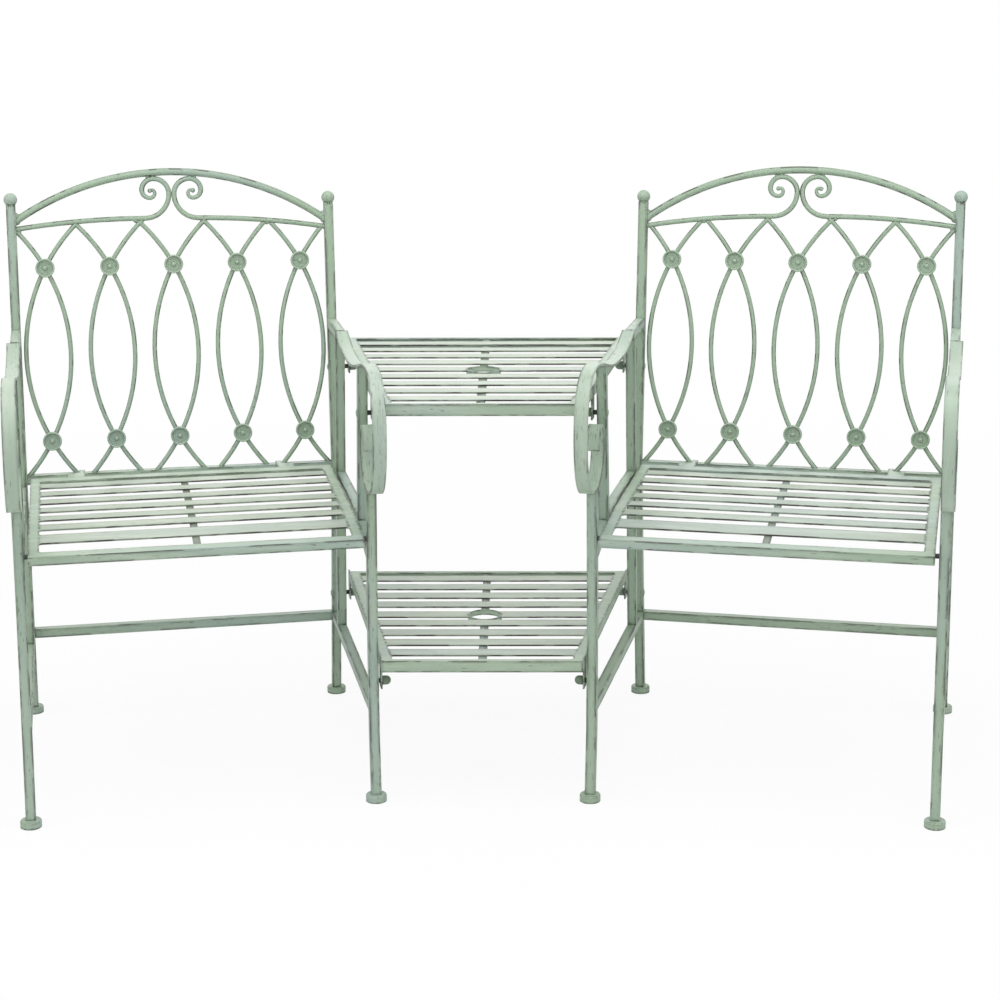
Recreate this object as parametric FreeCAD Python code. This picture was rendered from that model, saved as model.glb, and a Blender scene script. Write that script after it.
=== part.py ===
# Companion seat: two slatted armchairs joined by a slatted table and a shelf.
# Millimetres. The front of the object faces -Y, +Z is up, origin under the middle of its box.
import FreeCAD
import Part
import math
import os

Vector = FreeCAD.Vector

# Stock
TUBE = 16.0
TUBE_WALL = 1.5
SHEET = 2.5
ARM_BAR_WIDTH = 22.0
ARM_BAR_THICK = 4.0
ARCH_DIAMETER = 13.0
SCROLL_DIAMETER = 9.0
LATTICE_DIAMETER = 8.0

# Placing of the chairs: each one is turned in towards the table
TOE_IN = 11.5
CHAIR_X = 544.0
CHAIR_Y = 68.0

# Side frames, drawn in a plane: w runs forward from the back post, z runs up
SIDE_A = 277.3
BEND_Z = 447.0
REAR_FOOT_W = -60.0
POST_TOP_W = -48.4
POST_TOP_Z = 924.5
FRONT_LEG = ((488.0, 0.0), (474.0, 115.0), (471.0, 300.0), (479.0, 545.0))
ARM_POST = ((362.0, 430.0), (396.0, 725.0))
REAR_UPRIGHT = ((44.0, 150.0), (90.5, 708.0))
STUB_Z = 706.5
STUB_END_W = 99.0
SIDE_RAIL = ((60.0, 448.0), (170.0, 448.0), (270.0, 446.5), (340.0, 440.5), (405.0, 428.5), (490.0, 409.5))
STRETCHER_Z = 156.5
BACK_RAIL_Z = 450.0

# Outer surface of the flat arm bar, from the stub to the end of its curl
ARM_LINE = (
    (99.0, 713.5), (127.0, 705.5), (160.0, 697.5), (205.0, 692.5), (255.0, 691.0), (300.0, 693.0),
    (345.0, 699.5), (390.0, 709.5), (430.0, 718.0), (460.0, 722.0), (490.0, 722.0), (520.0, 716.0),
    (540.0, 706.0), (556.0, 689.0), (566.0, 668.0), (571.0, 640.0), (571.0, 610.0), (566.0, 582.0),
    (553.5, 554.0), (533.0, 532.5), (505.0, 521.0), (475.0, 517.5), (445.0, 523.5), (422.0, 541.5),
    (409.5, 567.0), (408.0, 590.0), (415.0, 608.0), (430.0, 618.0), (445.0, 613.5), (453.0, 598.0),
    (452.5, 578.5))

# Finials and feet
FINIAL_RADIUS = 11.7
FINIAL_RISE = 10.4
FOOT_RADIUS = 17.0
FOOT_HEIGHT = 12.0
FOOT_ROUND = 3.0

# Back panel, measured up its own slope. Its top falls a little from the outer post to the inner one
BACK_FALL = 10.0
RAIL_BELOW_TOP = 21.5
ARCH_RISE = 84.0
ARCH_OVER_SCROLL = 1.0
TOP_RAIL_BEND_A = 47.0
TOP_RAIL_RADIUS = 1450.0
SCROLL_RADII = (42.5, 27.0, 20.0, 14.0, 8.5, 5.5)
SCROLL_TAPER_ARCS = 3
SCROLL_TIP = 5.5
LATTICE_SIDE_GAP = 3.8
LATTICE_MID_Z = 669.5
LATTICE_HALF = 152.5
LATTICE_BULGE = 38.5
LATTICE_PAIRS = 5
NOTCH_CLEARANCE = 0.1
WELD_SINK = 0.3
ROSETTE_RADIUS = 16.5
ROSETTE_HEIGHT = 7.0
ROSETTE_RIM = 3.0
ROSETTE_DISH = 2.0
ROSETTE_BUTTON = 4.5

# Seat
SEAT_SIDE_GAP = 6.3
SEAT_REAR = (45.0, 462.0)
SEAT_BEND = (345.0, 457.0)
SEAT_NOSE = 27.2
SEAT_FRONT_Z = 447.0
SEAT_STRIP = 17.0
SEAT_FLANGE = 14.0
SEAT_REAR_STRIP = 24.0
SEAT_FRONT_STRIP = 22.5
SEAT_FIRST_SLOT = 16.0
SEAT_LAST_SLOT = 43.5
SEAT_SLAT = 27.5
SEAT_SLATS = 6
SEAT_WIDE_SLAT = 42.0
SEAT_CENTRE_STRIP = 12.0
SLOT_ROUND = 5.0
HOOK_A = 184.0
HOOK_WIDTH = 30.0
HOOK_CLAW = 10.0
SEAT_BOLT_Z = 441.0
SEAT_TAB = 24.0

# Table top and shelf: height, how far the rear and front edges lie beyond the bolts, gaps from the tubes
# to the sides, end slots, bolt height
SURFACES = {
    "table_top": {
        "z": 672.0, "rear_overhang": 40.34, "front_overhang": 145.23, "rear_gap": 19.4, "front_gap": 6.95,
        "first_slot": 30.0, "last_slot": 23.0, "collar_slat_shift": 0.0, "bolt_z": 627.5},
    "shelf": {
        "z": 242.0, "rear_overhang": -8.53, "front_overhang": 28.39, "rear_gap": 15.85, "front_gap": 3.25,
        "first_slot": 19.5, "last_slot": 21.5, "collar_slat_shift": -5.5, "bolt_z": 200.0}}
SLAT = 31.5
SLATS = 9
COLLAR_SLAT = 4
SIDE_STRIP = 18.0
EDGE_LIP = 10.0
EDGE_HEIGHT = 19.0
CENTRE_STRIP = 14.0
TAB_WIDTH = 24.0
TAB_BELOW_BOLT = 11.0
COLLAR_FORWARD = 5.0
COLLAR_BORE = 54.0
COLLAR_WALL = 2.0
COLLAR_HEIGHT = 9.5

# Fasteners
BOLT_DIAMETER = 8.0
BOLT_HOLE = 8.6
HEAD_RADIUS = 8.0
HEAD_HEIGHT = 2.5
NUT_RADIUS = 7.5
NUT_LENGTH = 14.0
NUT_STRAIGHT = 7.0
NUT_STANDOFF = 1.0

FAR = 2000.0
SAMPLES = 90


# Small helpers

def local_point(a, w, z):
    """Point of a chair: a across the chair, w forward from the back post."""
    return Vector(a, -w, z)


def biggest(shape):
    return max(shape.Solids, key=lambda solid: solid.Volume)


def box(x0, x1, y0, y1, z0, z1):
    return Part.makeBox(x1 - x0, y1 - y0, z1 - z0, Vector(x0, y0, z0))


def closed_face(edges):
    return Part.Face(Part.Wire(Part.__sortEdges__(edges)))


def mitre_offset(points, distance):
    """Points of a straight-sided line moved sideways, mitred at its corners."""
    moved = []
    for index, (w, z) in enumerate(points):
        normals = []
        for first, second in ((index - 1, index), (index, index + 1)):
            if first < 0 or second >= len(points):
                continue
            dw = points[second][0] - points[first][0]
            dz = points[second][1] - points[first][1]
            length = math.hypot(dw, dz)
            normals.append((dz / length, -dw / length))
        nw = sum(n[0] for n in normals) / len(normals)
        nz = sum(n[1] for n in normals) / len(normals)
        scale = distance / (nw * nw + nz * nz)
        moved.append((w + nw * scale, z + nz * scale))
    return moved


def smooth_curve(points):
    curve = Part.BSplineCurve()
    curve.interpolate([local_point(0, w, z) for w, z in points])
    return curve


def curve_offset(points, distance):
    """Points beside the smooth curve through the given points."""
    curve = smooth_curve(points)
    moved = []
    for step in range(SAMPLES + 1):
        at = curve.FirstParameter + (curve.LastParameter - curve.FirstParameter) * step / SAMPLES
        here = curve.value(at)
        along = curve.tangent(at)[0]
        moved.append((-here.y + along.z * distance, here.z + along.y * distance))
    return moved


def side_band(points, right, left, width, centre_a, curved=False):
    """Solid that follows a line in the side plane, spanning from left to right of it."""
    if curved:
        one = smooth_curve(curve_offset(points, right)).toShape()
        two = smooth_curve(curve_offset(points, -left)).toShape()
        edges = [one, two]
        for at in (0, -1):
            ends = [edge.Vertexes[at].Point for edge in (one, two)]
            edges.append(Part.makeLine(*ends))
    else:
        corners = mitre_offset(points, right) + mitre_offset(points, -left)[::-1]
        corners = [local_point(0, w, z) for w, z in corners]
        edges = [Part.makeLine(p, q) for p, q in zip(corners, corners[1:] + corners[:1])]
    face = closed_face(edges)
    face.translate(Vector(centre_a - width / 2, 0, 0))
    return face.extrude(Vector(width, 0, 0))


def tube_solid(points, centre_a, curved=False):
    return side_band(points, TUBE / 2, TUBE / 2, TUBE, centre_a, curved)


def tube_bore(points, centre_a, curved=False):
    inner = TUBE / 2 - TUBE_WALL
    return side_band(points, inner, inner, 2 * inner, centre_a, curved)


def cross_tube(w, z):
    """Square tube between the two back posts, with its solid outline for trimming."""
    reach = SIDE_A - TUBE / 2
    outline = box(-reach, reach, -w - TUBE / 2, -w + TUBE / 2, z - TUBE / 2, z + TUBE / 2)
    inner = TUBE / 2 - TUBE_WALL
    return outline, outline.cut(box(-reach, reach, -w - inner, -w + inner, z - inner, z + inner))


def rod(edges, diameter, end_diameter=None):
    """Round rod that follows tangent edges in the back plane, tapered if its end has its own diameter."""
    first, last = edges[0], edges[-1]
    ends = [(first, first.FirstParameter, diameter)]
    if end_diameter:
        ends.append((last, last.LastParameter, end_diameter))
    profiles = [Part.Wire(Part.makeCircle(size / 2, edge.valueAt(at), edge.tangentAt(at))) for edge, at, size in ends]
    return Part.Solid(Part.Wire(edges).makePipeShell(profiles, True, False))


def arc_through(a0, z0, a1, z1, a2, z2):
    points = (local_point(a0, 0, z0), local_point(a1, 0, z1), local_point(a2, 0, z2))
    return Part.Arc(*points).toShape()


def line_w(points, z):
    """Forward position of a straight-sided line at a height."""
    for (w0, z0), (w1, z1) in zip(points, points[1:]):
        if min(z0, z1) <= z <= max(z0, z1):
            return w0 + (w1 - w0) * (z - z0) / (z1 - z0)
    raise ValueError("height outside the line")


# Side frames

BACK_POST = ((REAR_FOOT_W, 0.0), (0.0, BEND_Z), (POST_TOP_W, POST_TOP_Z))
STRETCHER_W = line_w(BACK_POST, STRETCHER_Z)
BACK_RAIL_W = line_w(BACK_POST, BACK_RAIL_Z)
STRETCHER = ((STRETCHER_W, STRETCHER_Z), (FRONT_LEG[1][0], STRETCHER_Z))
STUB = ((line_w(BACK_POST, STUB_Z), STUB_Z), (STUB_END_W, STUB_Z))
RAIL_REAR = ((0.0, SIDE_RAIL[0][1]), (SIDE_RAIL[1][0], SIDE_RAIL[1][1]))
SEAT_HALF = SIDE_A - TUBE / 2 - SEAT_SIDE_GAP
SEAT_FRONT_W = line_w(FRONT_LEG, SEAT_FRONT_Z) + SEAT_NOSE


def post_top(side):
    """Forward position and height of a back post's end: the outer post is the taller one."""
    z = POST_TOP_Z - side * BACK_FALL / 2
    return POST_TOP_W * (z - BEND_Z) / (POST_TOP_Z - BEND_Z), z


def hole(a0, a1, w, z):
    return Part.makeCylinder(BOLT_HOLE / 2, a1 - a0, local_point(a0, w, z), Vector(1, 0, 0))


def side_frame(side_a):
    """Members of one side frame of a chair, keyed by their short names."""
    outward = 1 if side_a > 0 else -1
    above_foot = box(-FAR, FAR, -FAR, FAR, FOOT_HEIGHT, FAR)
    lines = {
        "back_post": (BACK_POST[:2] + (post_top(outward),), False),
        "front_leg": (FRONT_LEG, False),
        "arm_post": (ARM_POST, False),
        "rear_upright": (REAR_UPRIGHT, False),
        "side_stretcher": (STRETCHER, False),
        "stub": (STUB, False),
        "rail": (SIDE_RAIL, True),
        "rail_rear": (RAIL_REAR, False)}
    outline = {name: tube_solid(line, side_a, curved) for name, (line, curved) in lines.items()}
    bore = {name: tube_bore(line, side_a, curved) for name, (line, curved) in lines.items()}
    arm_centre = side_a + outward * (ARM_BAR_WIDTH - TUBE) / 2
    arm_bar = side_band(ARM_LINE, ARM_BAR_THICK, 0.0, ARM_BAR_WIDTH, arm_centre, True)
    outline["arm_bar"] = arm_bar

    def fitted(name, *against):
        shape = outline[name].cut(bore[name])
        for other in against:
            shape = shape.cut(outline[other])
        return biggest(shape)

    seat_bolt_w = line_w(FRONT_LEG, SEAT_BOLT_Z)
    reach = (side_a - TUBE, side_a + TUBE)
    parts = {
        "back_post": fitted("back_post").common(above_foot),
        "front_leg": fitted("front_leg", "arm_bar").common(above_foot),
        "arm_post": fitted("arm_post", "arm_bar", "rail"),
        "rear_upright": fitted("rear_upright", "stub", "side_stretcher"),
        "side_stretcher": fitted("side_stretcher", "back_post", "front_leg"),
        "side_rail": Part.makeCompound([
            fitted("rail", "rear_upright", "front_leg"),
            fitted("rail_rear", "back_post", "rear_upright")]),
        "arm": Part.makeCompound([arm_bar.cut(outline["stub"]), fitted("stub", "back_post")])}
    parts["front_leg"] = parts["front_leg"].cut(hole(*reach, seat_bolt_w, SEAT_BOLT_Z))
    if outward > 0:
        for name, line, surface, _ in JOINTS:
            z = SURFACES[surface]["bolt_z"]
            parts[name] = parts[name].cut(hole(*reach, line_w(line, z), z))
    return parts, outline


# Back panel, drawn upright over the bend of the posts and then leaned back

LEAN = math.degrees(math.atan2(-POST_TOP_W, POST_TOP_Z - BEND_Z))
TOP_SLOPE = BACK_FALL / (2 * SIDE_A)
TOP_RAIL_Z = POST_TOP_Z - RAIL_BELOW_TOP
SCROLL_TOP_Z = TOP_RAIL_Z + SCROLL_RADII[0] + SCROLL_RADII[1] + SCROLL_DIAMETER / 2
ARCH_TOP_Z = SCROLL_TOP_Z + ARCH_OVER_SCROLL + ARCH_DIAMETER / 2


def leaned(shape):
    shape = shape.copy()
    shape.rotate(local_point(0, 0, BEND_Z), Vector(1, 0, 0), -LEAN)
    return shape


def arch(post_outlines):
    half = SIDE_A - TUBE / 2
    radius = (half * half + ARCH_RISE * ARCH_RISE) / (2 * ARCH_RISE)
    end_z = ARCH_TOP_Z - radius + math.sqrt(radius * radius - SIDE_A * SIDE_A)
    fall = BACK_FALL / 2
    edge = arc_through(-SIDE_A, end_z + fall, 0, ARCH_TOP_Z, SIDE_A, end_z - fall)
    shape = leaned(rod([edge], ARCH_DIAMETER).cut(rod([edge], ARCH_DIAMETER - 2 * TUBE_WALL)))
    for post in post_outlines:
        shape = shape.cut(post)
    return biggest(shape)


def top_rail_z(a):
    """Height of the top rail's centre line, level between its bends and falling gently outside them."""
    outside = max(abs(a) - TOP_RAIL_BEND_A, 0)
    return TOP_RAIL_Z - TOP_RAIL_RADIUS + math.sqrt(TOP_RAIL_RADIUS ** 2 - outside ** 2)


def scroll_rail(side):
    """Top rail of the lattice that rolls up into a scroll at the middle of the back."""
    bend = -TOP_RAIL_BEND_A
    end_a = -SIDE_A
    middle = (bend + end_a) / 2
    edges = [arc_through(end_a, top_rail_z(end_a), middle, top_rail_z(middle), bend, TOP_RAIL_Z)]
    a, z = bend, TOP_RAIL_Z
    angle = 0.0
    for radius in SCROLL_RADII:
        centre = (a - radius * math.sin(angle), z + radius * math.cos(angle))
        stops = []
        for turn in (angle + math.pi / 4, angle + math.pi / 2):
            stops.append((centre[0] + radius * math.sin(turn), centre[1] - radius * math.cos(turn)))
        edges.append(arc_through(a, z, *stops[0], *stops[1]))
        a, z = stops[1]
        angle += math.pi / 2
    plain = rod(edges[:-SCROLL_TAPER_ARCS], SCROLL_DIAMETER)
    tip = rod(edges[-SCROLL_TAPER_ARCS:], SCROLL_DIAMETER, SCROLL_TIP)
    shape = plain.fuse(tip).removeSplitter()
    if side > 0:
        shape = shape.mirror(Vector(0, 0, 0), Vector(1, 0, 0))
    shape.rotate(local_point(0, 0, TOP_RAIL_Z), Vector(0, 1, 0), math.degrees(math.atan(TOP_SLOPE)))
    return shape


LATTICE_RADIUS = (LATTICE_HALF ** 2 + LATTICE_BULGE ** 2) / (2 * LATTICE_BULGE)
LAST_PAIR_A = SIDE_A - TUBE / 2 - LATTICE_SIDE_GAP - LATTICE_DIAMETER / 2 - LATTICE_BULGE
LATTICE_PITCH = 2 * LAST_PAIR_A / (LATTICE_PAIRS - 1)


def bowed_bar(a, side):
    """Round bar bent to one arc that bulges to one side, cut level at both rails."""
    radius = LATTICE_RADIUS
    low_z = BACK_RAIL_Z + TUBE / 2
    high_z = TOP_RAIL_Z
    for _ in range(5):
        end_a = a + side * (LATTICE_BULGE - radius + math.sqrt(radius ** 2 - (high_z - LATTICE_MID_Z) ** 2))
        high_z = top_rail_z(end_a) - end_a * TOP_SLOPE - SCROLL_DIAMETER / 2 + WELD_SINK
    low = math.asin((low_z - LATTICE_DIAMETER - LATTICE_MID_Z) / radius)
    high = math.asin((high_z + LATTICE_DIAMETER - LATTICE_MID_Z) / radius)
    centre = local_point(a + side * (LATTICE_BULGE - radius), 0, LATTICE_MID_Z)
    start = centre + local_point(side * radius * math.cos(low), 0, radius * math.sin(low))
    along = local_point(-side * math.sin(low), 0, math.cos(low))
    profile = Part.Face(Part.Wire(Part.makeCircle(LATTICE_DIAMETER / 2, start, along)))
    bar = profile.revolve(centre, Vector(0, -side, 0), math.degrees(high - low))
    reach = SIDE_A - TUBE / 2
    return bar.common(box(-reach, reach, -TUBE, TUBE, low_z, high_z))


def crossing_gap(a, level):
    """Room in the second family for the bar of the first, at one crossing."""
    lean = math.degrees(math.asin(LATTICE_HALF / LATTICE_RADIUS))
    half = LATTICE_DIAMETER / 2 + NOTCH_CLEARANCE
    gap = box(-half, half, -TUBE, TUBE, -3 * half, 3 * half)
    gap.rotate(Vector(0, 0, 0), Vector(0, 1, 0), -level * lean)
    gap.translate(local_point(a, 0, LATTICE_MID_Z + level * LATTICE_HALF))
    return gap


def pair_a(pair):
    """Place across the chair of one pair of lattice bars."""
    return (pair - (LATTICE_PAIRS - 1) / 2) * LATTICE_PITCH


def lattice():
    """Bowed bars that cross in pairs, the second family cut where it meets the first."""
    bars = []
    for pair in range(LATTICE_PAIRS):
        a = pair_a(pair)
        bars.append(leaned(bowed_bar(a, 1)))
        second = bowed_bar(a, -1)
        for level in (-1, 1):
            second = second.cut(crossing_gap(a, level))
        bars.extend(leaned(second).Solids)
    return Part.makeCompound(bars)


def rosette():
    """One pressed rosette, its rim and middle button raised, facing +Z."""
    rim_in = ROSETTE_RADIUS - ROSETTE_RIM
    shoulder = ROSETTE_HEIGHT - ROSETTE_RIM / 2
    top = ROSETTE_DISH + ROSETTE_BUTTON
    diagonal = ROSETTE_BUTTON * math.sqrt(0.5)

    def at(radius, z):
        return Vector(radius, 0, z)

    profile = [
        Part.makeLine(at(0, 0), at(ROSETTE_RADIUS, 0)),
        Part.makeLine(at(ROSETTE_RADIUS, 0), at(ROSETTE_RADIUS, shoulder)),
        Part.Arc(at(ROSETTE_RADIUS, shoulder), at(ROSETTE_RADIUS - ROSETTE_RIM / 2, ROSETTE_HEIGHT),
                 at(rim_in, shoulder)).toShape(),
        Part.makeLine(at(rim_in, shoulder), at(rim_in - ROSETTE_DISH / 2, ROSETTE_DISH)),
        Part.makeLine(at(rim_in - ROSETTE_DISH / 2, ROSETTE_DISH), at(ROSETTE_BUTTON, ROSETTE_DISH)),
        Part.Arc(at(ROSETTE_BUTTON, ROSETTE_DISH), at(diagonal, ROSETTE_DISH + diagonal),
                 at(0, top)).toShape(),
        Part.makeLine(at(0, top), at(0, 0))]
    return closed_face(profile).revolve(Vector(0, 0, 0), Vector(0, 0, 1), 360)


def rosettes():
    """Pressed rosettes on the front of every crossing."""
    pressed = rosette()
    pressed.rotate(Vector(0, 0, 0), Vector(1, 0, 0), 90)
    solids = []
    for level in (-1, 1):
        for pair in range(LATTICE_PAIRS):
            one = pressed.copy()
            z = LATTICE_MID_Z + level * LATTICE_HALF
            one.translate(local_point(pair_a(pair), LATTICE_DIAMETER / 2, z))
            solids.append(leaned(one))
    return Part.makeCompound(solids)


def finials():
    """Ball on a square cap, on the end of each back post."""
    cap = box(-TUBE / 2, TUBE / 2, -TUBE / 2, TUBE / 2, 0, TUBE_WALL)
    ball = Part.makeSphere(FINIAL_RADIUS, Vector(0, 0, FINIAL_RISE))
    ball = ball.common(box(-TUBE, TUBE, -TUBE, TUBE, TUBE_WALL, FAR))
    solids = []
    for side in (-1, 1):
        one = ball.fuse(cap).removeSplitter()
        one.rotate(Vector(0, 0, 0), Vector(1, 0, 0), -LEAN)
        one.translate(local_point(side * SIDE_A, *post_top(side)))
        solids.append(one)
    return Part.makeCompound(solids)


def feet():
    solids = []
    for side in (-1, 1):
        for w in (BACK_POST[0][0], FRONT_LEG[0][0]):
            disc = Part.makeCylinder(FOOT_RADIUS, FOOT_HEIGHT, local_point(side * SIDE_A, w, 0))
            rim = [edge for edge in disc.Edges if edge.Closed and edge.CenterOfMass.z > FOOT_HEIGHT / 2]
            solids.append(disc.makeFillet(FOOT_ROUND, rim))
    return Part.makeCompound(solids)


# Seat

def seat_z(w):
    if w <= SEAT_BEND[0]:
        start, end = SEAT_REAR, SEAT_BEND
    else:
        start, end = SEAT_BEND, (SEAT_FRONT_W, SEAT_FRONT_Z)
    return start[1] + (end[1] - start[1]) * (w - start[0]) / (end[0] - start[0])


def seat_sheet(w0, w1, a0, a1, top=0.0, thick=SHEET):
    """Sheet that follows the seat line between two positions."""
    stops = [w0] + ([SEAT_BEND[0]] if w0 < SEAT_BEND[0] < w1 else []) + [w1]
    upper = [(w, seat_z(w) + top) for w in stops]
    lower = [(w, z - thick) for w, z in reversed(upper)]
    corners = [local_point(a0, w, z) for w, z in upper + lower]
    edges = [Part.makeLine(p, q) for p, q in zip(corners, corners[1:] + corners[:1])]
    return closed_face(edges).extrude(Vector(a1 - a0, 0, 0))


def seat_slat_spans():
    """Rear and front edges of the seat slats, evenly spaced up to the wide one at the front."""
    first = SEAT_REAR[0] + SEAT_REAR_STRIP + SEAT_FIRST_SLOT
    wide = SEAT_FRONT_W - SEAT_FRONT_STRIP - SEAT_LAST_SLOT - SEAT_WIDE_SLAT
    pitch = (wide - first) / SEAT_SLATS
    starts = [first + index * pitch for index in range(SEAT_SLATS)]
    return [(w, w + SEAT_SLAT) for w in starts] + [(wide, wide + SEAT_WIDE_SLAT)]


def gaps_between(spans, start, end):
    """Open stretches between neighbouring spans, from start to end."""
    edges = [start] + [value for span in spans for value in span] + [end]
    return list(zip(edges[::2], edges[1::2]))


def rounded_corners(block):
    """What is left of a block at its four upright corners when they are rounded inside."""
    upright = [edge for edge in block.Edges if abs(edge.tangentAt(edge.FirstParameter).z) > 0.9]
    return block.cut(block.makeFillet(SLOT_ROUND, upright)).Solids


def hook(side):
    """Tongue that reaches from the seat to the back rail, with a narrow claw bent down behind the rail."""
    rail_top = BACK_RAIL_Z + TUBE / 2
    claw_rear = BACK_RAIL_W - TUBE / 2 - SHEET
    inner_a = HOOK_A - HOOK_WIDTH / 2
    tongue = (inner_a, inner_a + HOOK_WIDTH, SEAT_REAR[0] + SHEET, BACK_RAIL_W + TUBE / 2, rail_top)
    over_rail = (inner_a, inner_a + HOOK_CLAW, BACK_RAIL_W + TUBE / 2, claw_rear, rail_top)
    claw = (inner_a, inner_a + HOOK_CLAW, claw_rear + SHEET, claw_rear, BACK_RAIL_Z)
    solids = []
    for a0, a1, w_front, w_rear, low in (tongue, over_rail, claw):
        span = sorted((side * a0, side * a1))
        solids.append(box(*span, -w_front, -w_rear, low, rail_top + SHEET))
    return solids[0].fuse(solids[1]).fuse(solids[2])


def seat_frame(back_rail):
    inner = SEAT_HALF - SEAT_STRIP
    rear_w = SEAT_REAR[0]
    pieces = [
        seat_sheet(rear_w, rear_w + SEAT_REAR_STRIP, -SEAT_HALF, SEAT_HALF),
        seat_sheet(SEAT_FRONT_W - SEAT_FRONT_STRIP, SEAT_FRONT_W, -SEAT_HALF, SEAT_HALF),
        seat_sheet(SEAT_FRONT_W - SHEET, SEAT_FRONT_W, -SEAT_HALF, SEAT_HALF, 0.0, SEAT_FLANGE),
        seat_sheet(rear_w, rear_w + SHEET, -SEAT_HALF, SEAT_HALF, 0.0, SEAT_FLANGE)]
    slots = gaps_between(seat_slat_spans(), rear_w + SEAT_REAR_STRIP, SEAT_FRONT_W - SEAT_FRONT_STRIP)
    for w0, w1 in slots:
        for corner in rounded_corners(box(-inner, inner, -w1, -w0, 0, FAR)):
            pieces.append(corner.common(seat_sheet(w0, w1, -inner, inner)))
    bolt_w = line_w(FRONT_LEG, SEAT_BOLT_Z)
    for side in (-1, 1):
        span = sorted((side * inner, side * SEAT_HALF))
        skin = sorted((side * (SEAT_HALF - SHEET), side * SEAT_HALF))
        pieces.append(seat_sheet(rear_w, SEAT_FRONT_W, *span))
        pieces.append(seat_sheet(rear_w, SEAT_FRONT_W, *skin, 0.0, SEAT_FLANGE))
        tab = box(*skin, -bolt_w - SEAT_TAB / 2, -bolt_w + SEAT_TAB / 2,
                  SEAT_BOLT_Z - SEAT_TAB / 2, seat_z(bolt_w) - SHEET)
        pieces.append(tab)
        pieces.append(hook(side).cut(back_rail))
    frame = pieces[0]
    for piece in pieces[1:]:
        frame = frame.fuse(piece)
    return frame.cut(hole(-SEAT_HALF, SEAT_HALF, bolt_w, SEAT_BOLT_Z)).removeSplitter()


def seat_slats():
    inner = SEAT_HALF - SEAT_STRIP
    return Part.makeCompound([seat_sheet(w0, w1, -inner, inner) for w0, w1 in seat_slat_spans()])


def seat_centre_strip():
    half = SEAT_CENTRE_STRIP / 2
    return seat_sheet(SEAT_REAR[0] + SHEET, SEAT_FRONT_W - SHEET, -half, half, -SHEET)


def chair():
    """All pieces of one chair in its own axes: a across, w forward."""
    shapes = {}
    posts = []
    for word, side_a in (("outer", -SIDE_A), ("inner", SIDE_A)):
        parts, outline = side_frame(side_a)
        posts.append(outline["back_post"])
        for name, shape in parts.items():
            shapes[name + "_" + word] = shape
    back_rail_outline, shapes["back_seat_rail"] = cross_tube(BACK_RAIL_W, BACK_RAIL_Z)
    shapes["back_stretcher"] = cross_tube(STRETCHER_W, STRETCHER_Z)[1]
    shapes["back_arch"] = arch(posts)
    rails = [leaned(scroll_rail(side)) for side in (-1, 1)]
    trimmed = []
    for rail in rails:
        for post in posts:
            rail = rail.cut(post)
        trimmed.append(biggest(rail))
    shapes["scroll_rails"] = Part.makeCompound(trimmed)
    shapes["lattice_bars"] = lattice()
    shapes["rosettes"] = rosettes()
    shapes["post_finials"] = finials()
    shapes["feet"] = feet()
    shapes["seat_frame"] = seat_frame(back_rail_outline)
    shapes["seat_slats"] = seat_slats()
    shapes["seat_strip"] = seat_centre_strip()
    return shapes


# Table top and shelf

# Where the table and the shelf are bolted: the member, its line, the surface it carries and which gap
JOINTS = (
    ("back_post", BACK_POST, "shelf", "rear_gap"),
    ("front_leg", FRONT_LEG, "shelf", "front_gap"),
    ("back_post", BACK_POST, "table_top", "rear_gap"),
    ("arm_post", ARM_POST, "table_top", "front_gap"))


def joint_points(name):
    """Rear and front points where the bolt lines of the left chair meet the side of a surface."""
    surface = SURFACES[name]
    points = []
    for _, line, carried, gap in JOINTS:
        if carried == name:
            points.append(to_world(SIDE_A + TUBE / 2 + surface[gap], line_w(line, surface["bolt_z"]), 0))
    return points


def side_slope(name):
    """How much wider a surface gets on each side per millimetre towards its rear."""
    rear, front = joint_points(name)
    return (front.x - rear.x) / (rear.y - front.y)


def half_width(name, y):
    rear = joint_points(name)[0]
    return -rear.x + side_slope(name) * (y - rear.y)


def tapered(name, y0, y1, inset, z0, z1):
    """Plate between two lines of the surface, its ends following the tapering sides."""
    corners = []
    for y, side in ((y0, -1), (y0, 1), (y1, 1), (y1, -1)):
        corners.append(Vector(side * (half_width(name, y) - inset), y, z0))
    edges = [Part.makeLine(p, q) for p, q in zip(corners, corners[1:] + corners[:1])]
    return closed_face(edges).extrude(Vector(0, 0, z1 - z0))


def to_world(a, w, z):
    """Point of the left chair in the axes of the whole object."""
    turn = math.radians(TOE_IN)
    x = -CHAIR_X + a * math.cos(turn) + w * math.sin(turn)
    y = CHAIR_Y + a * math.sin(turn) - w * math.cos(turn)
    return Vector(x, y, z)


def joint_tabs(name):
    """Tabs that hang from the sides of a surface, one at each bolt, for the left side."""
    surface = SURFACES[name]
    across = to_world(1, 0, 0) - to_world(0, 0, 0)
    tabs = []
    for point in joint_points(name):
        low = surface["bolt_z"] - TAB_BELOW_BOLT
        tab = box(0, SHEET, -TAB_WIDTH / 2, TAB_WIDTH / 2, low, surface["z"] - SHEET)
        tab.rotate(Vector(0, 0, 0), Vector(0, 0, 1), math.degrees(math.atan(side_slope(name))))
        tab.translate(point)
        start = point - across * TUBE + Vector(0, 0, surface["bolt_z"])
        tabs.append(tab.cut(Part.makeCylinder(BOLT_HOLE / 2, 2 * TUBE, start, across)))
    return tabs


def surface_edges(name):
    """Rear and front edges of a surface, set from the points where it is bolted."""
    rear, front = joint_points(name)
    return rear.y + SURFACES[name]["rear_overhang"], front.y - SURFACES[name]["front_overhang"]


def mirrored(shape):
    return shape.mirror(Vector(0, 0, 0), Vector(1, 0, 0))


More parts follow.
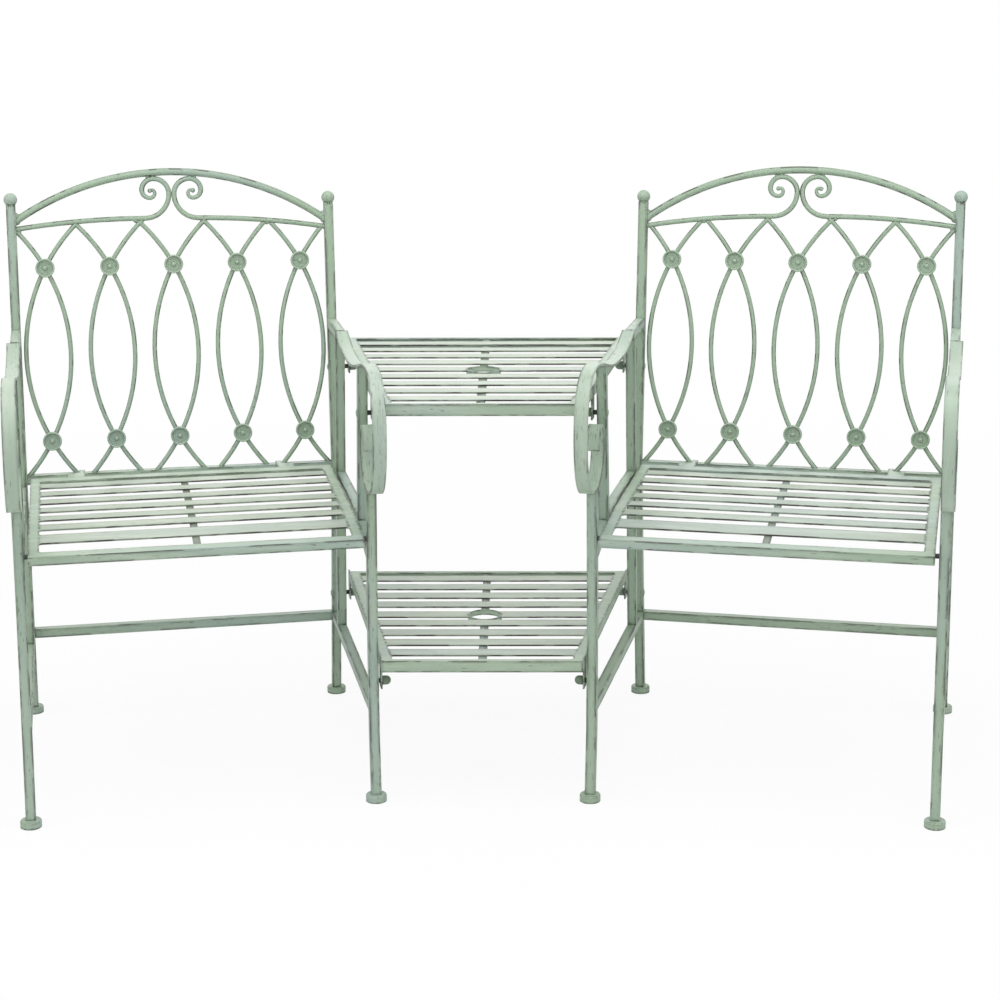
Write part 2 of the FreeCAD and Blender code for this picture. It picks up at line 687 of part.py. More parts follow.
def slat_spans(name):
    """Rear and front edges of the slats, evenly spaced, with the collar's slat moved a little."""
    surface = SURFACES[name]
    rear, front = surface_edges(name)
    first = rear - EDGE_LIP - surface["first_slot"]
    last = front + EDGE_LIP + surface["last_slot"] + SLAT
    spans = []
    for index in range(SLATS):
        y = first + (last - first) * index / (SLATS - 1)
        if index == COLLAR_SLAT:
            y += surface["collar_slat_shift"]
        spans.append((y, y - SLAT))
    return spans


def surface_parts(name):
    z = SURFACES[name]["z"]
    rear, front = surface_edges(name)
    outer = tapered(name, front, rear, 0, z - EDGE_HEIGHT, z)
    inside = tapered(name, front + EDGE_LIP, rear - EDGE_LIP, SIDE_STRIP, z - EDGE_HEIGHT, z)
    hollow = tapered(name, front + SHEET, rear - SHEET, SHEET, z - EDGE_HEIGHT, z - SHEET)
    frame = outer.cut(inside).cut(hollow)
    spans = slat_spans(name)
    for tab in joint_tabs(name):
        frame = frame.fuse(tab).fuse(mirrored(tab))
    for y0, y1 in gaps_between(spans, rear - EDGE_LIP, front + EDGE_LIP):
        for corner in rounded_corners(tapered(name, y1, y0, SIDE_STRIP, z - SHEET, z)):
            frame = frame.fuse(corner)
    collar_base = Vector(0, slat_spans("table_top")[COLLAR_SLAT][0] - SLAT / 2 - COLLAR_FORWARD, z - COLLAR_HEIGHT)
    collar = Part.makeCylinder(COLLAR_BORE / 2 + COLLAR_WALL, COLLAR_HEIGHT, collar_base)
    bore = Part.makeCylinder(COLLAR_BORE / 2, COLLAR_HEIGHT, collar_base)
    solids = []
    for y0, y1 in spans:
        solids.extend(tapered(name, y1, y0, SIDE_STRIP, z - SHEET, z).cut(collar).Solids)
    strip = box(-CENTRE_STRIP / 2, CENTRE_STRIP / 2, front + SHEET, rear - SHEET, z - 2 * SHEET, z - SHEET)
    return {
        name + "_frame": frame.removeSplitter(),
        name + "_slats": Part.makeCompound(solids),
        name + "_strip": Part.makeCompound(strip.cut(collar).Solids),
        name + "_collar": collar.cut(bore)}


# Fasteners

def dome(radius, height):
    """Cap of a sphere that rises from a flat round base along +Z."""
    sphere = (radius * radius + height * height) / (2 * height)
    ball = Part.makeSphere(sphere, Vector(0, 0, height - sphere))
    return ball.common(Part.makeCylinder(radius, height))


def along_line(shape, start, direction):
    turned = shape.copy()
    turned.Placement = FreeCAD.Placement(start, FreeCAD.Rotation(Vector(0, 0, 1), direction))
    return turned


def bolt(start, end):
    """Dome-headed bolt whose shank runs from start to end, head outside start."""
    direction = (end - start).normalize()
    shank = Part.makeCylinder(BOLT_DIAMETER / 2, (end - start).Length)
    head = along_line(dome(HEAD_RADIUS, HEAD_HEIGHT), start, -direction)
    return along_line(shank, start, direction).fuse(head)


def cap_nut(start, direction):
    body = Part.makeCylinder(NUT_RADIUS, NUT_STRAIGHT)
    crown = dome(NUT_RADIUS, NUT_LENGTH - NUT_STRAIGHT)
    crown.translate(Vector(0, 0, NUT_STRAIGHT))
    thread = Part.makeCylinder(BOLT_DIAMETER / 2, NUT_STRAIGHT)
    return along_line(body.fuse(crown).cut(thread), start, direction)


def fasteners():
    bolts = []
    nuts = []
    for _, line, name, gap in JOINTS:
        surface = SURFACES[name]
        z = surface["bolt_z"]
        w = line_w(line, z)
        tab_face = SIDE_A + TUBE / 2 + surface[gap] + SHEET + NUT_STANDOFF
        start = to_world(SIDE_A - TUBE / 2, w, z)
        seat_of_nut = to_world(tab_face, w, z)
        direction = (seat_of_nut - start).normalize()
        bolts.append(bolt(start, seat_of_nut + direction * NUT_STRAIGHT))
        nuts.append(cap_nut(seat_of_nut, direction))
    w = line_w(FRONT_LEG, SEAT_BOLT_Z)
    for side in (-1, 1):
        start = to_world(side * (SEAT_HALF - SHEET), w, SEAT_BOLT_Z)
        bolts.append(bolt(start, to_world(side * (SIDE_A + TUBE / 2), w, SEAT_BOLT_Z)))
    bolts += [mirrored(one) for one in bolts]
    nuts += [mirrored(one) for one in nuts]
    return {"bolts": Part.makeCompound(bolts), "cap_nuts": Part.makeCompound(nuts)}


# Assembly

def assembly():
    shapes = {}
    for name, shape in chair().items():
        placed = shape.copy()
        placed.rotate(Vector(0, 0, 0), Vector(0, 0, 1), TOE_IN)
        placed.translate(Vector(-CHAIR_X, CHAIR_Y, 0))
        shapes["left_" + name] = placed
        shapes["right_" + name] = mirrored(placed)
    for name in SURFACES:
        shapes.update(surface_parts(name))
    shapes.update(fasteners())
    return shapes


def write_all():
    shapes = assembly()
    bounds = Part.makeCompound(list(shapes.values())).BoundBox
    shift = Vector(-bounds.Center.x, -bounds.Center.y, -bounds.ZMin)
    os.makedirs("parts", exist_ok=True)
    for name, shape in shapes.items():
        shape.translate(shift)
        shape.exportStep("parts/" + name + ".step")


write_all()
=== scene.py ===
import math
import bmesh
import bpy
from mathutils import Matrix, Vector, noise as drift
from mathutils.bvhtree import BVHTree


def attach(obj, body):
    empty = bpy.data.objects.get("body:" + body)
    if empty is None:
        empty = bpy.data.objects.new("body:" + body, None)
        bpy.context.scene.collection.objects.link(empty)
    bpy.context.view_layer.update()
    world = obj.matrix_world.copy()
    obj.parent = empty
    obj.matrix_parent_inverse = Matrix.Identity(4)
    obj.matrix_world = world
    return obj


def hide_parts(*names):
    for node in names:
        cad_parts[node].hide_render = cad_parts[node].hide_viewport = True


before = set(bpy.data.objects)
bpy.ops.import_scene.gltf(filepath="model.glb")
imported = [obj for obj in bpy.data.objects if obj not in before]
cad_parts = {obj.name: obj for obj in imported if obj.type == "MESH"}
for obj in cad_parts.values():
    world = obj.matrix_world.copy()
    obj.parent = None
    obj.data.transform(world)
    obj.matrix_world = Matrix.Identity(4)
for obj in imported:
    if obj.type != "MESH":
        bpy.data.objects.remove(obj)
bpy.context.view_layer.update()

# The photograph's view, in metres and radians, with the lens in millimetres
CAMERA_AT = Vector((0.0703, -3.6758, 1.4069))
CAMERA_PITCH = 0.1989
CAMERA_YAW = -0.0114
CAMERA_ROLL = -0.0041
LENS_MM = 81.43
SENSOR_MM = 36.0
SHIFT = (-0.0001, -0.1200)
CLIP = (0.05, 100)

# Paint colours, as they read in sRGB; some also stand for painted shade and sheen, as noted
PAINT_SAGE = (152, 172, 150)
# Slats lighter and greyer than the frame: partly painted sheen of their tops
PAINT_SLAT_WITH_SHEEN = (160, 172, 155)
PAINT_ARM = (162, 180, 162)
PAINT_BLUE = (154, 170, 172)
PAINT_CHALK = (208, 214, 200)
# Deep green of scratches and nuts, also the painted shade on the sides of rods
PAINT_DEEP = (104, 122, 99)
# Dark shade colour: painted shade in corners and on the strips under the slats, and the darker
# line along sharp and cut edges
PAINT_SHADE = (84, 97, 76)
PAINT_WELD = (134, 153, 130)
# Bare metal where paint is rubbed off, also the painted shade along the outlines of rods
PAINT_BARE_AND_SHADE = (46, 42, 33)
BOLT_COLOUR = (24, 23, 21)

# How the brush and wear marks stretch along a member: scale of the noise on each axis
GRAIN_UPRIGHT = (1.0, 1.0, 0.14)
GRAIN_ACROSS = (0.14, 1.0, 1.0)
GRAIN_DEPTH = (1.0, 0.14, 1.0)
GRAIN_BAR = (1.0, 0.12, 0.12)
GRAIN_SOFT = (0.35, 0.35, 0.35)
GRAIN_NONE = (1.0, 1.0, 1.0)

# Width of the wear and the darker line on sharp edges, rounding of edges, and reach of the
# painted shade with grime in corners, in metres, and how finely they are sampled
EDGE_WIDTH = 0.0055
EDGE_ROUND = 0.0012
SEAM_REACH = 0.012
WIDE_SAMPLES = 6
CLOSE_SAMPLES = 4

# Noises: scale, detail and roughness, and the two levels between which a mark fades in
NOISES = {
    "dashes": (120.0, 3.0, 0.62, 0.48, 0.53), "runs": (130.0, 1.0, 0.4, 0.535, 0.575),
    "breaks": (300.0, 2.0, 0.5, 0.26, 0.40), "uneven": (26.0, 3.0, 0.6, 0.30, 0.62),
    "grime": (90.0, 3.0, 0.6, 0.25, 0.60), "cloud": (9.0, 3.0, 0.55, 0.50, 0.64),
    "mottle": (46.0, 5.0, 0.68, 0.44, 0.70), "patches": (14.0, 2.0, 0.5, 0.46, 0.56),
    "streak": (480.0, 3.0, 0.6, 0.585, 0.65), "scratch": (300.0, 3.0, 0.7, 0.66, 0.72),
    "speck": (420.0, 1.0, 0.5, 0.70, 0.76)}

# Bands along edges, of painted shade in corners and on the sides and outlines of rods, and on
# cut faces and bolt heads: the two levels between which each one fades in
RUBBED_BAND = (0.992, 0.95)
THIN_BAND = (0.998, 0.955)
SEAM_BAND = (0.62, 0.30)
# Painted shade on rods: on their sides as they turn from the front, and along their outlines
TURNED_SHADE_BAND = (0.97, 0.55)
FLANK_SHADE_OUTSIDE = (0.80, 0.70)
FLANK_SHADE_INSIDE = (0.30, 0.45)
SHEARED_BAND = (0.7, 0.3)
HEAD_BAND = (0.25, 0.40)

# How strongly each mark covers the paint under it
CLOUD_SHARE = 0.45
ROD_CLOUD_SHARE = 0.30
TURNED_SHADE_SHARE = 0.42
THIN_SHARE = 0.52
# Share of the painted shade with grime in corners and where parts meet
SEAM_SHARE = 0.75
MARK_SHARE = 0.55
FLANK_SHADE_SHARE = 0.80
RUBBED_SHARE = 0.92
SHEARED_SHARE = 0.5

# Sheen and relief of the paint, with a stronger bump on square members than on rods
ROUGH_LOW = 0.34
ROUGH_HIGH = 0.56
RELIEF_SHARE = 0.6
RELIEF_DEPTH = 0.0004
SQUARE_BUMP = 0.22
ROD_BUMP = 0.12

# The chairs are turned in towards the table; each one has its own place in the noise
TOE_IN = math.radians(11.5)
CHAIR_OFFSET = (3.1, 1.7, 2.3)


def linear(colour):
    """A colour written in sRGB, as a shader's socket takes it."""
    values = []
    for channel in colour:
        c = channel / 255
        values.append(c / 12.92 if c <= 0.04045 else ((c + 0.055) / 1.055) ** 2.4)
    return (*values, 1.0)


# Materials

def add_node(tree, kind, inputs=None, **settings):
    """New node, with each input either linked or set to a value."""
    node = tree.nodes.new(kind)
    for name, value in settings.items():
        setattr(node, name, value)
    for name, value in (inputs or {}).items():
        socket = node.inputs[name]
        if hasattr(value, "links"):
            tree.links.new(value, socket)
        else:
            socket.default_value = value
    return node


def ramp(tree, fac, low, high):
    """Mask that rises from 0 at the first level to 1 at the second, which may be the lower one."""
    node = add_node(tree, "ShaderNodeMapRange", {"Value": fac, "From Min": low, "From Max": high})
    return node.outputs["Result"]


def maths(tree, operation, first, second=0.0):
    node = add_node(tree, "ShaderNodeMath", {0: first, 1: second}, operation=operation)
    return node.outputs["Value"]


def times(tree, first, second):
    return maths(tree, "MULTIPLY", first, second)


def mix(tree, fac, first, second):
    """Two colours mixed, in the colour sockets of the node."""
    inputs = {"Factor": fac, 6: first, 7: second}
    return add_node(tree, "ShaderNodeMix", inputs, data_type="RGBA").outputs[2]


def parts_of(tree, vector):
    """X, Y and Z of a vector."""
    return add_node(tree, "ShaderNodeSeparateXYZ", {0: vector}).outputs


def noise(tree, place, name):
    scale, detail, rough, _, _ = NOISES[name]
    inputs = {"Vector": place, "Scale": scale, "Detail": detail, "Roughness": rough}
    return add_node(tree, "ShaderNodeTexNoise", inputs).outputs["Fac"]


def marks(tree, place, name):
    """Places where a named noise rises above its level."""
    return ramp(tree, noise(tree, place, name), *NOISES[name][3:])


def open_group(name, outputs):
    """New node group, with its input for a place in the pattern and the sockets for its masks."""
    tree = bpy.data.node_groups.new(name, "ShaderNodeTree")
    tree.interface.new_socket("Vector", in_out="INPUT", socket_type="NodeSocketVector")
    for output in outputs:
        kind = "NodeSocketVector" if output == "Normal" else "NodeSocketFloat"
        tree.interface.new_socket(output, in_out="OUTPUT", socket_type=kind)
    place = tree.nodes.new("NodeGroupInput").outputs["Vector"]
    return tree, place, tree.nodes.new("NodeGroupOutput").inputs


def fill_group(tree, sink, results):
    for output, result in results.items():
        tree.links.new(result, sink[output])
    return tree


def edge_group():
    """Masks of wear and dark lines on edges, of painted shade with grime at joints and on rods."""
    outputs = ("Rubbed", "Thin", "Seam", "FlankShade", "TurnedShade", "Chipped", "Normal")
    tree, place, sink = open_group("rubbed_edges", outputs)
    wide = add_node(tree, "ShaderNodeBevel", {"Radius": EDGE_WIDTH}, samples=WIDE_SAMPLES)
    rounded = add_node(tree, "ShaderNodeBevel", {"Radius": EDGE_ROUND}, samples=CLOSE_SAMPLES)
    nearby = {"Distance": SEAM_REACH}
    closed = add_node(tree, "ShaderNodeAmbientOcclusion", nearby, samples=CLOSE_SAMPLES)
    flat = add_node(tree, "ShaderNodeNewGeometry").outputs["Normal"]
    both = {0: wide.outputs["Normal"], 1: flat}
    turn = add_node(tree, "ShaderNodeVectorMath", both, operation="DOT_PRODUCT").outputs["Value"]
    across = maths(tree, "ABSOLUTE", parts_of(tree, flat)["Y"])
    # Painted shade along the outlines of rods as seen from the front, broken into runs
    flank_shade_band = times(tree, ramp(tree, across, *FLANK_SHADE_OUTSIDE), ramp(tree, across, *FLANK_SHADE_INSIDE))
    # Painted shade where other parts come close, from occlusion
    occluded_shade = ramp(tree, closed.outputs["AO"], *SEAM_BAND)
    chipped = times(tree, marks(tree, place, "dashes"), marks(tree, place, "breaks"))
    return fill_group(tree, sink, {
        "Rubbed": times(tree, ramp(tree, turn, *RUBBED_BAND), chipped),
        "Thin": times(tree, ramp(tree, turn, *THIN_BAND), marks(tree, place, "uneven")),
        "Seam": times(tree, occluded_shade, marks(tree, place, "grime")),
        "FlankShade": times(tree, flank_shade_band, marks(tree, place, "runs")),
        # Painted shade on the sides of rods, darker as they turn away from the front
        "TurnedShade": ramp(tree, across, *TURNED_SHADE_BAND),
        "Chipped": chipped,
        "Normal": rounded.outputs["Normal"]})


def coat_group():
    """Masks of the brushed coat: clouds, chalky mottle, streaks, scratches and specks."""
    outputs = ("Cloud", "Mottle", "Streak", "Scratch", "Speck", "Relief")
    tree, place, sink = open_group("brushed_coat", outputs)
    mottle = noise(tree, place, "mottle")
    return fill_group(tree, sink, {
        "Cloud": marks(tree, place, "cloud"),
        "Mottle": ramp(tree, mottle, *NOISES["mottle"][3:]),
        "Streak": times(tree, marks(tree, place, "streak"), marks(tree, place, "patches")),
        "Scratch": marks(tree, place, "scratch"),
        "Speck": marks(tree, place, "speck"),
        "Relief": mottle})


EDGES = edge_group()
COAT = coat_group()


def chair_axes(tree, place):
    """Coordinates along and across a chair, so that the marks follow its turned members."""
    parts = parts_of(tree, place)
    side = maths(tree, "SIGN", parts["X"])
    folded = {"X": maths(tree, "ABSOLUTE", parts["X"]), "Y": parts["Y"], "Z": parts["Z"]}
    folded = add_node(tree, "ShaderNodeCombineXYZ", folded).outputs["Vector"]
    turned = {"Vector": folded, "Angle": TOE_IN}
    turned = add_node(tree, "ShaderNodeVectorRotate", turned, rotation_type="Z_AXIS")
    offset = {0: CHAIR_OFFSET, "Scale": side}
    offset = add_node(tree, "ShaderNodeVectorMath", offset, operation="SCALE")
    both = {0: turned.outputs["Vector"], 1: offset.outputs["Vector"]}
    return add_node(tree, "ShaderNodeVectorMath", both, operation="ADD").outputs["Vector"]


def paint(name, base, grain, chalk, wear=1.0, streaks=0.0, sheared=0.0, rod_shading=0.0, heads=0.0,
          on_chair=True, square=True):
    """Chalky paint brushed along a member, and rubbed to metal at its edges.

    Chalk, wear and streaks say how strongly those marks show; wear also scales the painted shade
    in corners. Sheared darkens the cut edges of a slat, the rod share paints shade on the sides
    and outlines of a rod, and heads covers the ends of a bolt with paint.
    """
    material = bpy.data.materials.new(name)
    material.use_nodes = True
    tree = material.node_tree
    shader = tree.nodes["Principled BSDF"]
    place = add_node(tree, "ShaderNodeTexCoord").outputs["Object"]
    if on_chair:
        place = chair_axes(tree, place)
    stretched = {0: place, 1: grain}
    along = add_node(tree, "ShaderNodeVectorMath", stretched, operation="MULTIPLY")
    along = {"Vector": along.outputs["Vector"]}
    edges = add_node(tree, "ShaderNodeGroup", along, node_tree=EDGES).outputs
    coat = add_node(tree, "ShaderNodeGroup", along, node_tree=COAT).outputs
    edge_wear = wear if square else 0.0
    layers = [
        (coat["Cloud"], CLOUD_SHARE if square else ROD_CLOUD_SHARE, PAINT_BLUE),
        (coat["Mottle"], chalk, PAINT_CHALK),
        # Painted shade on the sides of rods
        (edges["TurnedShade"], TURNED_SHADE_SHARE * rod_shading, PAINT_DEEP),
        (edges["Thin"], THIN_SHARE * edge_wear, PAINT_SHADE),
        # Painted shade with grime in corners and at joints
        (edges["Seam"], SEAM_SHARE * wear, PAINT_SHADE),
        (coat["Scratch"], MARK_SHARE * wear, PAINT_DEEP),
        (coat["Streak"], streaks, PAINT_BARE_AND_SHADE),
        (coat["Speck"], MARK_SHARE * wear, PAINT_BARE_AND_SHADE),
        # Painted shade along the outlines of rods, in the bare-metal colour
        (edges["FlankShade"], FLANK_SHADE_SHARE * rod_shading, PAINT_BARE_AND_SHADE),
        (edges["Rubbed"], RUBBED_SHARE * edge_wear, PAINT_BARE_AND_SHADE)]
    if sheared or heads:
        facing = parts_of(tree, add_node(tree, "ShaderNodeNewGeometry").outputs["True Normal"])
        edgewise = ramp(tree, maths(tree, "ABSOLUTE", facing["Z"]), *SHEARED_BAND)
        endwise = ramp(tree, maths(tree, "ABSOLUTE", facing["X"]), *HEAD_BAND)
        chipped = times(tree, edgewise, edges["Chipped"])
        layers[2:2] = [
            (edgewise, SHEARED_SHARE * sheared, PAINT_SHADE), (endwise, heads, PAINT_SAGE)]
        layers.append((chipped, sheared, PAINT_BARE_AND_SHADE))
    colour = linear(base)
    for mask, share, over in layers:
        if share:
            colour = mix(tree, times(tree, mask, share), colour, linear(over))
    sheen = {"Value": coat["Relief"], "To Min": ROUGH_LOW, "To Max": ROUGH_HIGH}
    sheen = add_node(tree, "ShaderNodeMapRange", sheen).outputs["Result"]
    relief = {"Height": times(tree, coat["Relief"], RELIEF_SHARE), "Distance": RELIEF_DEPTH}
    if square:
        relief["Height"] = maths(tree, "SUBTRACT", relief["Height"], edges["Rubbed"])
        relief["Normal"] = edges["Normal"]
    relief["Strength"] = SQUARE_BUMP if square else ROD_BUMP
    tree.links.new(colour, shader.inputs["Base Color"])
    tree.links.new(sheen, shader.inputs["Roughness"])
    bump = add_node(tree, "ShaderNodeBump", relief)
    tree.links.new(bump.outputs["Normal"], shader.inputs["Normal"])
    return material


UPRIGHT_PAINT = paint(
    "frame_paint_upright", PAINT_SAGE, GRAIN_UPRIGHT, chalk=0.14, streaks=0.3)
RAIL_PAINT = paint(
    "frame_paint_across", PAINT_SAGE, GRAIN_ACROSS, chalk=0.14, wear=0.9, streaks=0.3)
DEPTH_PAINT = paint(
    "frame_paint_depth", PAINT_SAGE, GRAIN_DEPTH, chalk=0.14, streaks=0.3)
ROD_PAINT = paint(
    "rod_paint", PAINT_SAGE, GRAIN_SOFT, chalk=0.0, wear=0.6, rod_shading=1.0, square=False)
ROSETTE_PAINT = paint(
    "rosette_paint", PAINT_SAGE, GRAIN_SOFT, chalk=0.08, wear=0.6, square=False)
ARM_PAINT = paint(
    "arm_paint", PAINT_ARM, GRAIN_BAR, chalk=0.30, wear=0.9, streaks=0.45)
SEAT_PAINT = paint(
    "seat_paint", PAINT_SAGE, GRAIN_ACROSS, chalk=0.36)
# Slats carry much chalk: partly chalky paint, partly painted sheen on their tops
SEAT_SLAT_PAINT = paint(
    "seat_slat_paint", PAINT_SLAT_WITH_SHEEN, GRAIN_ACROSS, chalk=0.45, wear=0.9, sheared=0.9)
TABLE_PAINT = paint(
    "table_paint", PAINT_SAGE, GRAIN_ACROSS, chalk=0.28, on_chair=False)
SLAT_PAINT = paint(
    "slat_paint", PAINT_SLAT_WITH_SHEEN, GRAIN_ACROSS, chalk=0.48, wear=0.9, sheared=0.9, on_chair=False)
# Strips under the slats take the dark shade colour: painted shade, as they lie in the slats'
# shadow
STRIP_PAINT_SHADED = paint(
    "strip_paint_shaded", PAINT_SHADE, GRAIN_DEPTH, chalk=0.10, wear=0.9)
NUT_PAINT = paint(
    "nut_paint_worn", PAINT_DEEP, GRAIN_NONE, chalk=0.2, wear=0.7)
WELD_PAINT = paint(
    "weld_paint", PAINT_WELD, GRAIN_NONE, chalk=0.10, square=False)
BOLT_PAINT = paint(
    "bolt_black_worn", BOLT_COLOUR, GRAIN_NONE, chalk=0.03, wear=0.3, heads=0.95)

# Paint of each node: the first word that its name holds decides
PAINT_OF_NODE = (
    ("bolts", BOLT_PAINT), ("cap_nuts", NUT_PAINT), ("strip", STRIP_PAINT_SHADED),
    ("seat_slats", SEAT_SLAT_PAINT), ("slats", SLAT_PAINT), ("table_top", TABLE_PAINT),
    ("shelf", TABLE_PAINT), ("seat_frame", SEAT_PAINT), ("side_", DEPTH_PAINT),
    ("arm_post", UPRIGHT_PAINT), ("arm", ARM_PAINT), ("lattice", ROD_PAINT),
    ("back_seat_rail", RAIL_PAINT), ("back_stretcher", RAIL_PAINT), ("back_arch", ROD_PAINT),
    ("scroll_rails", ROD_PAINT), ("rosettes", ROSETTE_PAINT), ("", UPRIGHT_PAINT))

# Round and curved members, whose facets are blended into a smooth skin
CURVED = (
    "arm_inner", "arm_outer", "back_arch", "scroll_rails", "lattice_bars", "rosettes",
    "post_finials", "feet", "front_leg", "side_rail", "collar", "bolts", "cap_nuts")
WELD_TOGETHER = 1e-6
SHARPEST_SMOOTH = math.radians(34)


def smooth_skin(node_name, material):
    """Copy of a node with its facets blended, and its real corners kept sharp."""
    shape = bmesh.new()
    shape.from_mesh(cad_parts[node_name].data)
    bmesh.ops.remove_doubles(shape, verts=shape.verts, dist=WELD_TOGETHER)
    for face in shape.faces:
        face.smooth = True
    for edge in shape.edges:
        edge.smooth = len(edge.link_faces) == 2 and edge.calc_face_angle() < SHARPEST_SMOOTH
    mesh = bpy.data.meshes.new(node_name + "_skin")
    shape.to_mesh(mesh)
    shape.free()
    mesh.materials.clear()
    mesh.materials.append(material)
    piece = bpy.data.objects.new(node_name + "_skin", mesh)
    bpy.context.scene.collection.objects.link(piece)
    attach(piece, "root")
    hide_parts(node_name)


for node_name, piece in list(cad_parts.items()):
    chosen = next(material for word, material in PAINT_OF_NODE if word in node_name)
    if any(word in node_name for word in CURVED):
        smooth_skin(node_name, chosen)
        continue
    for slot in piece.material_slots:
        slot.material = chosen


# Welds: the nodes that meet and the size of the bead, in metres
WELDS = (
    ("lattice_bars", "scroll_rails", 0.0038), ("lattice_bars", "back_seat_rail", 0.0036),
    ("scroll_rails", "back_arch", 0.0034), ("scroll_rails", "back_post_inner", 0.0051),
    ("scroll_rails", "back_post_outer", 0.0051), ("back_arch", "back_post_inner", 0.0071),
    ("back_arch", "back_post_outer", 0.0071))
WELD_REACH = 0.0012
WELD_SPREAD = 0.014
WELD_ROUGHNESS = 0.0009
WELD_LUMPS = 260.0
BEAD_SUBDIVISIONS = 3

# Round ends of the left chair's scrolls, which the right chair mirrors
SCROLL_EYES = ((-0.5900, 0.2858, 0.9495), (-0.5165, 0.3006, 0.9483))
EYE_RADIUS = 0.0040


def meeting_places(first, second):
    """Middles of the patches where the first mesh comes up to the second."""
    mesh = second.data
    corners = [vertex.co for vertex in mesh.vertices]
    skin = BVHTree.FromPolygons(corners, [list(face.vertices) for face in mesh.polygons])
    patches = []
    for vertex in first.data.vertices:
        if skin.find_nearest(vertex.co, WELD_REACH)[0] is None:
            continue
        for patch in patches:
            if (patch[0] - vertex.co).length < WELD_SPREAD:
                patch.append(vertex.co.copy())
                break
        else:
            patches.append([vertex.co.copy()])
    return [sum(patch, Vector()) / len(patch) for patch in patches]


def beads(name, places, material):
    """Lumpy round beads, each given by its middle and its size, as one piece."""
    shape = bmesh.new()
    for middle, size in places:
        bead = bmesh.ops.create_icosphere(
            shape, subdivisions=BEAD_SUBDIVISIONS, radius=size, matrix=Matrix.Translation(middle))
        for vertex in bead["verts"]:
            outward = (vertex.co - middle).normalized()
            vertex.co += outward * WELD_ROUGHNESS * drift.noise(vertex.co * WELD_LUMPS)
    for face in shape.faces:
        face.smooth = True
    mesh = bpy.data.meshes.new(name)
    shape.to_mesh(mesh)
    shape.free()
    mesh.materials.append(material)
    piece = bpy.data.objects.new(name, mesh)
    bpy.context.scene.collection.objects.link(piece)
    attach(piece, "root")


for chair, mirror in (("left_", 1), ("right_", -1)):
    welds = []
    for first, second, size in WELDS:
        middles = meeting_places(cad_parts[chair + first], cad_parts[chair + second])
        welds += [(middle, size) for middle in middles]
    eyes = [(Vector((mirror * x, y, z)), EYE_RADIUS) for x, y, z in SCROLL_EYES]
    beads(chair + "weld_beads", welds, WELD_PAINT)
    beads(chair + "scroll_eyes", eyes, ROD_PAINT)


# Camera

def photo_camera():
    data = bpy.data.cameras.new("photo_camera")
    camera = bpy.data.objects.new("photo_camera", data)
    bpy.context.scene.collection.objects.link(camera)
    ahead = math.cos(CAMERA_PITCH)
    forward = Vector((
        math.sin(CAMERA_YAW) * ahead, math.cos(CAMERA_YAW) * ahead, -math.sin(CAMERA_PITCH)))
    level = Vector((math.cos(CAMERA_YAW), -math.sin(CAMERA_YAW), 0))
    upright = level.cross(forward)
    right = level * math.cos(CAMERA_ROLL) + upright * math.sin(CAMERA_ROLL)
    up = upright * math.cos(CAMERA_ROLL) - level * math.sin(CAMERA_ROLL)
    turn = Matrix((right, up, -forward)).transposed().to_4x4()
    camera.matrix_world = Matrix.Translation(CAMERA_AT) @ turn
    data.lens = LENS_MM
    data.sensor_width = SENSOR_MM
    data.sensor_fit = "HORIZONTAL"
    data.shift_x, data.shift_y = SHIFT
    data.clip_start, data.clip_end = CLIP
    bpy.context.scene.camera = camera


photo_camera()


# Studio: the floor's half width and the ring where it fades to white, in metres

WHITE = (1, 1, 1, 1)
FLOOR_COLOUR = (0.86, 0.87, 0.87, 1)
FLOOR_ROUGHNESS = 0.9
FLOOR_HALF = 14.0
FLOOR_WHITE = 0.90
FADE_FROM = 1.0
FADE_TO = 3.2
SKY_FILL = 0.36


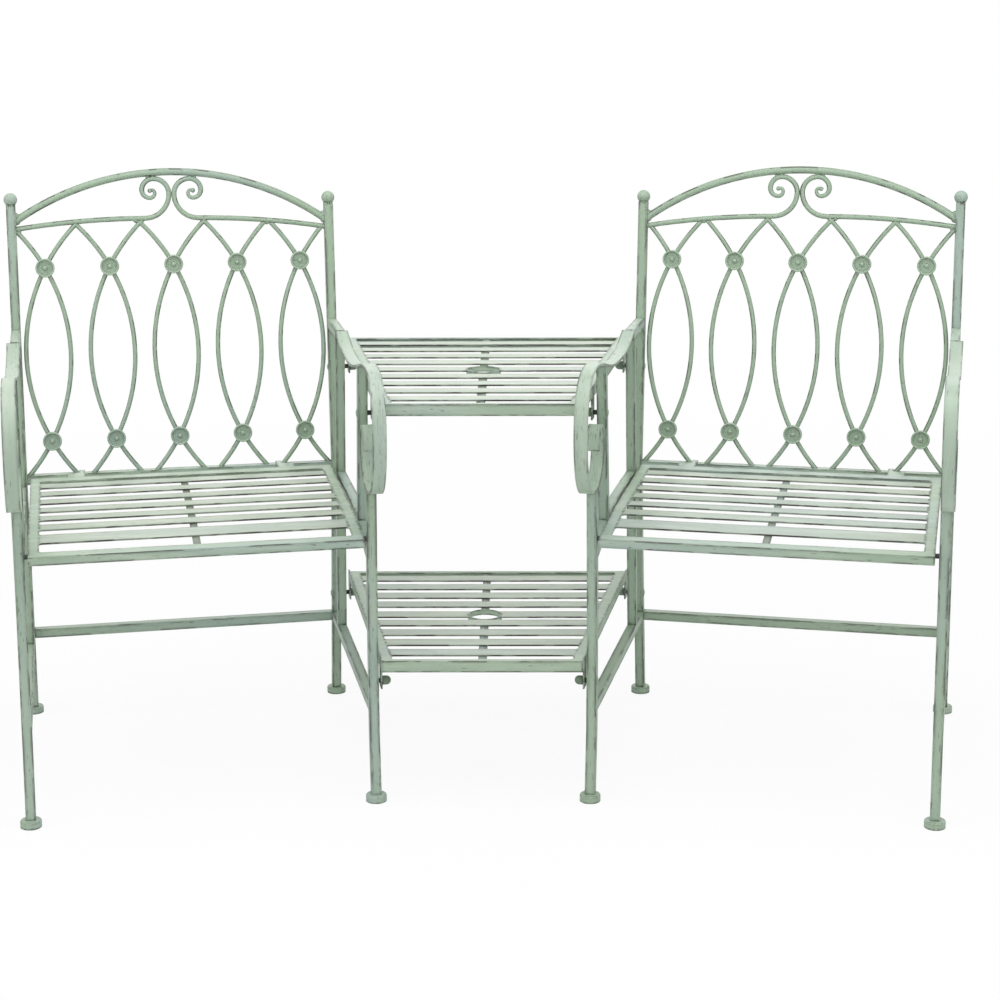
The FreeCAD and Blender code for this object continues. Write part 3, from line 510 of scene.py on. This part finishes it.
def studio_floor():
    """Pale floor that fades to white away from the object and keeps its soft shadow."""
    material = bpy.data.materials.new("studio_floor")
    material.use_nodes = True
    tree = material.node_tree
    shader = tree.nodes["Principled BSDF"]
    shader.inputs["Base Color"].default_value = FLOOR_COLOUR
    shader.inputs["Roughness"].default_value = FLOOR_ROUGHNESS
    shader.inputs["Specular IOR Level"].default_value = 0.0
    place = add_node(tree, "ShaderNodeTexCoord").outputs["Object"]
    away = add_node(tree, "ShaderNodeVectorMath", {0: place}, operation="LENGTH").outputs["Value"]
    fade = {
        "Value": away, "From Min": FADE_FROM, "From Max": FADE_TO, "To Min": FLOOR_WHITE,
        "To Max": 1.0}
    white_share = add_node(tree, "ShaderNodeMapRange", fade).outputs["Result"]
    path = add_node(tree, "ShaderNodeLightPath").outputs
    seen = times(tree, path["Is Camera Ray"], white_share)
    white = add_node(tree, "ShaderNodeEmission", {"Color": WHITE, "Strength": 1.0})
    both = {0: seen, 1: shader.outputs[0], 2: white.outputs[0]}
    both = add_node(tree, "ShaderNodeMixShader", both).outputs[0]
    tree.links.new(both, tree.nodes["Material Output"].inputs["Surface"])
    mesh = bpy.data.meshes.new("studio_floor")
    shape = bmesh.new()
    bmesh.ops.create_grid(shape, x_segments=1, y_segments=1, size=FLOOR_HALF)
    shape.to_mesh(mesh)
    shape.free()
    mesh.materials.append(material)
    floor = bpy.data.objects.new("studio_floor", mesh)
    bpy.context.scene.collection.objects.link(floor)


def softbox(name, at, target, size, watts):
    data = bpy.data.lights.new(name, "AREA")
    data.shape = "RECTANGLE"
    data.size, data.size_y = size
    data.energy = watts
    lamp = bpy.data.objects.new(name, data)
    bpy.context.scene.collection.objects.link(lamp)
    lamp.location = at
    lamp.visible_camera = False
    lamp.rotation_mode = "QUATERNION"
    lamp.rotation_quaternion = (Vector(target) - Vector(at)).to_track_quat("-Z", "Y")


def sky():
    world = bpy.data.worlds.new("studio")
    world.use_nodes = True
    bpy.context.scene.world = world
    tree = world.node_tree
    tree.nodes.clear()
    path = add_node(tree, "ShaderNodeLightPath").outputs
    seen = add_node(tree, "ShaderNodeBackground", {"Color": WHITE, "Strength": 1.0})
    fill = add_node(tree, "ShaderNodeBackground", {"Color": WHITE, "Strength": SKY_FILL})
    direct = maths(tree, "MAXIMUM", path["Is Camera Ray"], path["Is Glossy Ray"])
    both = {0: direct, 1: fill.outputs[0], 2: seen.outputs[0]}
    both = add_node(tree, "ShaderNodeMixShader", both).outputs[0]
    add_node(tree, "ShaderNodeOutputWorld", {"Surface": both})


# Lamps: place, aim, size, watts
LAMPS = {
    "overhead": ((0.0, -0.6, 3.3), (0, 0, 0.4), (4.5, 2.5), 84),
    "behind": ((0.0, 4.2, 2.6), (0, 0, 0.5), (6.0, 2.6), 60),
    "front": ((0.0, -5.0, 2.4), (0, 0, 0.6), (4.0, 2.4), 46),
    "left": ((-3.4, -1.8, 1.7), (0, 0, 0.6), (2.2, 2.2), 26),
    "right": ((3.4, -1.8, 1.7), (0, 0, 0.6), (2.2, 2.2), 24)}

studio_floor()
for lamp_name, lamp in LAMPS.items():
    softbox(lamp_name, *lamp)
sky()
bpy.context.scene.view_settings.view_transform = "Standard"
